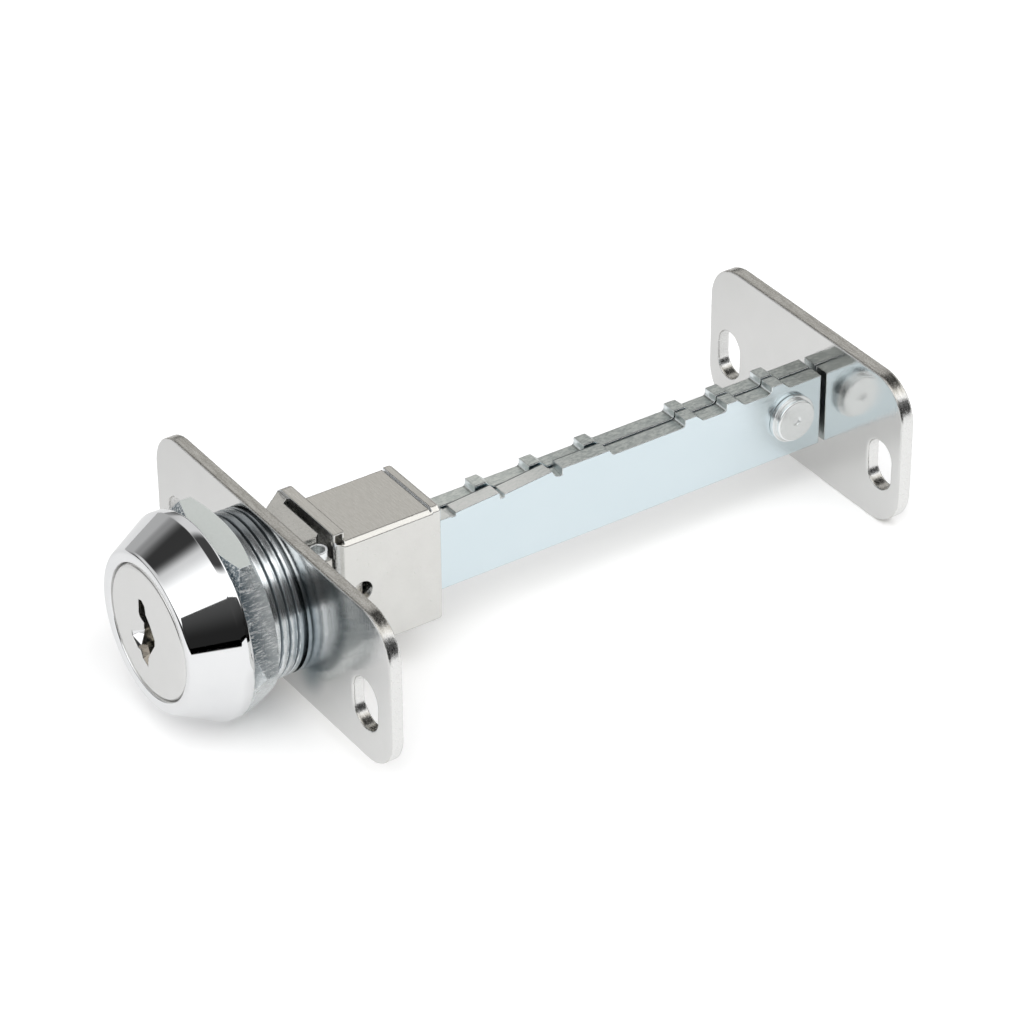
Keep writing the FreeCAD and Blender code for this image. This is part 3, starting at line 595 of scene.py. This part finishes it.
def thread_depth(y, turn, start):
    """How deep the surface lies at a place on the barrel: wide flat crests and narrow grooves."""
    phase = ((y - start) / THREAD_PITCH - turn) % 1.0
    from_groove = abs(2 * phase - 1)
    if y > -BARREL_END_NECK:
        return THREAD_DEPTH
    if from_groove < THREAD_GROOVE_SHARE:
        wave = 0.5 + 0.5 * math.cos(math.pi * from_groove / THREAD_GROOVE_SHARE)
        return THREAD_DEPTH * wave
    across = (from_groove - THREAD_GROOVE_SHARE) / (1 - THREAD_GROOVE_SHARE)
    return THREAD_CROWN * (1 - across) ** 2


def head_profile(front, rear, plate_end):
    """(radius, y) points of the head from the bore round to the back of the head."""
    rim = rear - HEAD_RIM_LENGTH
    head_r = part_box("cylinder_body")[1].x
    slope = (head_r - HEAD_FRONT_R) / (rim - front)
    soft = HEAD_EDGE_ROUND
    ledge = front + FACE_BORE_LENGTH
    bore = [(BODY_BORE_R, plate_end), (BODY_BORE_R, ledge), (FACE_BORE_R, ledge)]
    ring = [
        (FACE_BORE_R, front + RING_TILT + RING_EDGE),
        (FACE_BORE_R + RING_EDGE, front + RING_TILT),
        (FACE_BORE_R + 0.12 * MM, front + 0.6 * RING_TILT),
        (HEAD_FRONT_R - 1.6 * soft, front + 0.02 * MM),
        (HEAD_FRONT_R - 0.8 * soft, front),
        (HEAD_FRONT_R - 0.25 * soft, front + 0.25 * soft),
    ]
    cone = [
        (HEAD_FRONT_R + slope * soft, front + soft),
        (HEAD_FRONT_R + slope * 1.2 * soft, front + 1.2 * soft),
        (head_r - slope * 0.3 * soft, rim - 0.3 * soft),
    ]
    edge = [
        (head_r - 0.02 * soft, rim + 0.1 * soft),
        (head_r, rim + 0.3 * soft),
        (head_r, rear - 1.2 * soft),
        (head_r - 0.15 * soft, rear - 0.5 * soft),
        (head_r - 0.5 * soft, rear - 0.12 * soft),
        (head_r - 1.2 * soft, rear),
    ]
    return bore + ring + cone + edge + [(BARREL_R - THREAD_DEPTH, rear)]


def round_rows(profile):
    """A ring of equal (radius, y) points for each point of a profile."""
    return [[point] * TURN_STEPS for point in profile]


def cylinder_rows():
    """Rings of (radius, y) points of the head, the thread and the spigot, from bore to bore."""
    low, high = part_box("cylinder_body")
    front, plate_end = low.y, high.y
    rear = front + HEAD_LENGTH
    count = int(-rear / THREAD_PITCH * ROWS_PER_TURN)
    thread = []
    for step in range(count + 1):
        y = rear * (1 - step / count)
        thread.append([(BARREL_R - thread_depth(y, k / TURN_STEPS, rear), y) for k in range(TURN_STEPS)])
    head = round_rows(head_profile(front, rear, plate_end))
    spigot = round_rows([(SPIGOT_R, 0.0), (SPIGOT_R, plate_end), (BODY_BORE_R, plate_end)])
    return head, thread, spigot


def row_slot(row, first_thread, last_thread):
    """Which material the faces between a ring and the next have."""
    if row == BORE_WALL_ROW:
        return BORE_SLOT
    if first_thread <= row + 1 <= last_thread:
        return THREAD_SLOT
    return HEAD_SLOT


def cylinder_mesh(chrome):
    """Head and barrel with a real thread, as one turned mesh."""
    head, thread, spigot = cylinder_rows()
    rows = head + thread + spigot
    vertices = []
    for ring in rows:
        for k, (radius, y) in enumerate(ring):
            angle = 2 * math.pi * k / TURN_STEPS
            vertices.append((radius * math.cos(angle), y, radius * math.sin(angle)))
    faces = []
    slots = []
    for row in range(len(rows) - 1):
        base = row * TURN_STEPS
        for k in range(TURN_STEPS):
            after = (k + 1) % TURN_STEPS
            faces.append((base + k, base + after, base + TURN_STEPS + after, base + TURN_STEPS + k))
            slots.append(row_slot(row, len(head), len(head) + len(thread) - 1))
    mesh = bpy.data.meshes.new("threaded_cylinder")
    mesh.from_pydata(vertices, [], faces)
    for material in (chrome, thread_steel(), bore_satin()):
        mesh.materials.append(material)
    for polygon, slot in zip(mesh.polygons, slots):
        polygon.material_index = slot
        polygon.use_smooth = True
    mesh.validate()
    return mesh


def add_cylinder(chrome):
    """Threaded cylinder that stands for the plain one."""
    piece = add_piece("threaded_cylinder", cylinder_mesh(chrome))
    fix_outward(piece)
    split = piece.modifiers.new("edges", "EDGE_SPLIT")
    split.split_angle = math.radians(SHARP_ANGLE)
    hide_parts("cylinder_body")
    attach(piece, "lock_frame")


def lead_mesh(chrome):
    """Slopes that run in from the lower left edge of the keyway, the first ones bright."""
    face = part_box("key_plug")[0].y
    wall = Vector((-LEAD_WALL[0] * MM, 0, -LEAD_WALL[1] * MM))
    vertices = []
    for (x, z), (inner_x, depth, inner_z) in zip(LEAD_EDGE, LEAD_INNER):
        front = Vector((x * MM, face + LEAD_SUNK, z * MM))
        inner = Vector((inner_x * MM, face + depth * MM, inner_z * MM))
        deep = Vector((0, depth * MM, 0))
        vertices += [front, inner, front + deep + wall, front + wall]
    faces = [(0, 1, 2, 3)]
    last = 4 * (len(LEAD_EDGE) - 1)
    for start in range(0, last, 4):
        for side in range(4):
            after = (side + 1) % 4
            faces.append((start + side, start + after, start + 4 + after, start + 4 + side))
    faces.append((last + 3, last + 2, last + 1, last))
    mesh = bpy.data.meshes.new("keyway_lead")
    mesh.from_pydata(vertices, [], faces)
    mesh.materials.append(chrome)
    mesh.materials.append(worn_brass())
    for polygon in mesh.polygons:
        polygon.material_index = 0 if polygon.index in LEAD_BRIGHT_FACES else 1
    return mesh


def add_keyway_lead(chrome):
    """Slopes in the keyway that turn with the plug."""
    piece = add_piece("keyway_lead", lead_mesh(chrome))
    fix_outward(piece)
    soft = piece.modifiers.new("soft_edges", "BEVEL")
    soft.width = LEAD_SOFT_EDGE
    soft.segments = 2
    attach(piece, "plug")


def floor_plane():
    """Lowest plane that the lock lies on, as a point and a normal."""
    head_low, head_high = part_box("cylinder_body")
    rear_low, rear_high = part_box("rear_plate")
    rim_y = head_low.y + HEAD_LENGTH - HEAD_RIM_LENGTH / 2
    first = Vector((0, rim_y, head_low.z))
    second = Vector((0, rear_low.y, rear_low.z))
    along = (second - first).normalized()
    normal = Vector((1, 0, 0)).cross(along)
    return first, normal


def floor_material():
    """Pale floor with some light of its own, which metal sees dark beyond its front right end."""
    shade = Shade("floor_white", metallic=0.0)
    shade.set("Roughness", 0.9)
    shade.set("Specular IOR Level", 0.0)
    path = shade.new("LightPath").outputs
    mirrored = path["Is Glossy Ray"]
    position = shade.new("NewGeometry").outputs["Position"]
    reach = shade.vector("DOT_PRODUCT", position, FLOOR_DARK_SIDE).outputs["Value"]
    start = FLOOR_DARK_SIDE.dot(VIEW_TARGET)
    lit = shade.spread(reach, start + FLOOR_DARK_START, start + FLOOR_DARK_END, 1.0, 0.0)
    # Painted shade in reflections: the floor as the metal sees it is darker to the left
    across = shade.part(position, "X")
    fade = shade.spread(across, FLOOR_FADE_LEFT, FLOOR_FADE_RIGHT, FLOOR_LEFT_LEVEL, FLOOR_RIGHT_LEVEL)
    kept = shade.math("MAXIMUM", shade.opposite(mirrored), shade.times(lit, fade))
    less = shade.times(mirrored, FLOOR_COLOUR - FLOOR_MIRROR_COLOUR)
    white = shade.math("SUBTRACT", FLOOR_COLOUR, less)
    shade.set("Base Color", shade.times(white, kept))
    seen = shade.times(path["Is Camera Ray"], FLOOR_GLOW)
    glow = shade.math("ADD", seen, shade.times(mirrored, FLOOR_MIRROR_GLOW))
    light = shade.new("Emission")
    shade.fill(light.inputs["Strength"], shade.times(glow, kept))
    total = shade.new("AddShader")
    shade.fill(total.inputs[0], shade.shader.outputs["BSDF"])
    shade.fill(total.inputs[1], light.outputs["Emission"])
    shade.fill(shade.output.inputs["Surface"], total.outputs["Shader"])
    return shade.material


def add_floor():
    """Plain pale floor, white to the camera and in reflections near the lock."""
    point, normal = floor_plane()
    half = FLOOR_SIZE / 2
    mesh = bpy.data.meshes.new("floor")
    corners = [(-half, -half, 0), (half, -half, 0), (half, half, 0), (-half, half, 0)]
    mesh.from_pydata(corners, [], [(0, 1, 2, 3)])
    mesh.materials.append(floor_material())
    floor = add_piece("floor", mesh)
    turn = Vector((0, 0, 1)).rotation_difference(normal).to_matrix().to_4x4()
    floor.matrix_world = Matrix.Translation(point) @ turn


class Room:
    """Studio background that is painted in layers, each over the ones before."""

    def __init__(self, world):
        world.use_nodes = True
        self.tree = world.node_tree
        self.background = self.tree.nodes["Background"]
        self.direction = self.tree.nodes.new("ShaderNodeTexCoord").outputs["Generated"]

    def along(self, direction, cosines):
        """Zero to one as the cosine to a direction goes from one value to another."""
        dot = self.tree.nodes.new("ShaderNodeVectorMath")
        dot.operation = "DOT_PRODUCT"
        dot.inputs[1].default_value = Vector(direction).normalized()
        self.tree.links.new(self.direction, dot.inputs[0])
        node = self.tree.nodes.new("ShaderNodeMapRange")
        node.interpolation_type = "SMOOTHSTEP"
        node.inputs["From Min"].default_value = cosines[0]
        node.inputs["From Max"].default_value = cosines[1]
        self.tree.links.new(dot.outputs["Value"], node.inputs["Value"])
        return node.outputs["Result"]

    def near(self, direction, inner, outer):
        """One close to a direction, falling to zero between two angles in degrees."""
        return self.along(direction, (math.cos(math.radians(outer)), math.cos(math.radians(inner))))

    def both(self, first, second):
        """Where two masks meet."""
        node = self.tree.nodes.new("ShaderNodeMath")
        node.operation = "MULTIPLY"
        self.tree.links.new(first, node.inputs[0])
        self.tree.links.new(second, node.inputs[1])
        return node.outputs["Value"]

    def paint(self, mask, level):
        """A level laid over the others where a mask is one."""
        node = self.tree.nodes.new("ShaderNodeMix")
        node.data_type = "FLOAT"
        strength = self.background.inputs["Strength"]
        self.tree.links.new(mask, node.inputs["Factor"])
        if strength.is_linked:
            self.tree.links.new(strength.links[0].from_socket, node.inputs["A"])
        else:
            node.inputs["A"].default_value = strength.default_value
        node.inputs["B"].default_value = level
        self.tree.links.new(node.outputs["Result"], strength)


def add_world():
    """Studio round the lock: pale room, a broad bright band across it and dark room behind the camera."""
    world = bpy.data.worlds.new("studio")
    bpy.context.scene.world = world
    room = Room(world)
    room.background.inputs["Color"].default_value = (1.0, 1.0, 1.0, 1.0)
    room.background.inputs["Strength"].default_value = ROOM_LEVEL
    room.paint(room.along(BAND_AXIS, BAND_START), BAND_LEVEL)
    room.paint(room.along(BAND_AXIS, BAND_END), ROOM_LEVEL)
    room.paint(room.along(DOWN, HORIZON_START), HORIZON_LEVEL)
    room.paint(room.near(*SIDE_PART), SIDE_LEVEL)
    dark = room.both(room.along(BAND_AXIS, DARK_START), room.near(*DARK_PART))
    room.paint(dark, DARK_LEVEL)
    room.paint(room.both(dark, room.along(UP, DARK_TOP_START)), DARK_TOP_LEVEL)
    for part, level in SHADED_PARTS:
        room.paint(room.near(*part), level)


def add_sun():
    """Broad soft light from the upper left behind the lock, not mirrored in the metal."""
    sun = bpy.data.lights.new("window_light", "SUN")
    sun.energy = SUN_STRENGTH
    sun.angle = math.radians(SUN_WIDTH)
    item = add_piece("window_light", sun)
    item.rotation_mode = "QUATERNION"
    item.rotation_quaternion = SUN_FROM.to_track_quat("Z", "Y")
    item.visible_glossy = False


def add_camera():
    """Camera at the photograph's angle and distance."""
    azimuth = math.radians(VIEW_AZIMUTH)
    elevation = math.radians(VIEW_ELEVATION)
    roll = math.radians(VIEW_ROLL)
    level = math.cos(elevation)
    right = Vector((math.cos(azimuth), math.sin(azimuth), 0))
    ahead = Vector((-math.sin(azimuth) * level, math.cos(azimuth) * level, -math.sin(elevation)))
    up = right.cross(ahead)
    turned_right = right * math.cos(roll) + up * math.sin(roll)
    turned_up = up * math.cos(roll) - right * math.sin(roll)
    place = VIEW_TARGET - turned_right * VIEW_RIGHT - turned_up * VIEW_UP - ahead * VIEW_DISTANCE
    lens = bpy.data.cameras.new("camera")
    lens.sensor_width = SENSOR_WIDTH
    lens.lens = FOCAL_PIXELS / IMAGE_PIXELS * SENSOR_WIDTH
    lens.clip_start = VIEW_NEAREST
    lens.clip_end = VIEW_FARTHEST
    camera = add_piece("camera", lens)
    axes = Matrix((turned_right, turned_up, -ahead)).transposed().to_4x4()
    camera.matrix_world = Matrix.Translation(place) @ axes
    bpy.context.scene.camera = camera


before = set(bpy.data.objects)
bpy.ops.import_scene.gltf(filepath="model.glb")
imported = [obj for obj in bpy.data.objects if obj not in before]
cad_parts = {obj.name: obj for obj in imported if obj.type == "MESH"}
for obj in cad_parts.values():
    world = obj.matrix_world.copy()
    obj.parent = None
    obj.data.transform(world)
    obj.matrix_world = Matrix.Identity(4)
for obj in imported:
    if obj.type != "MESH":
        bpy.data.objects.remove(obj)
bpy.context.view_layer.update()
bpy.context.scene.view_settings.view_transform = "Standard"
dress_nodes(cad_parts)
chrome = bright_chrome()
add_cylinder(chrome)
add_keyway_lead(chrome)
add_floor()
add_world()
add_sun()
add_camera()
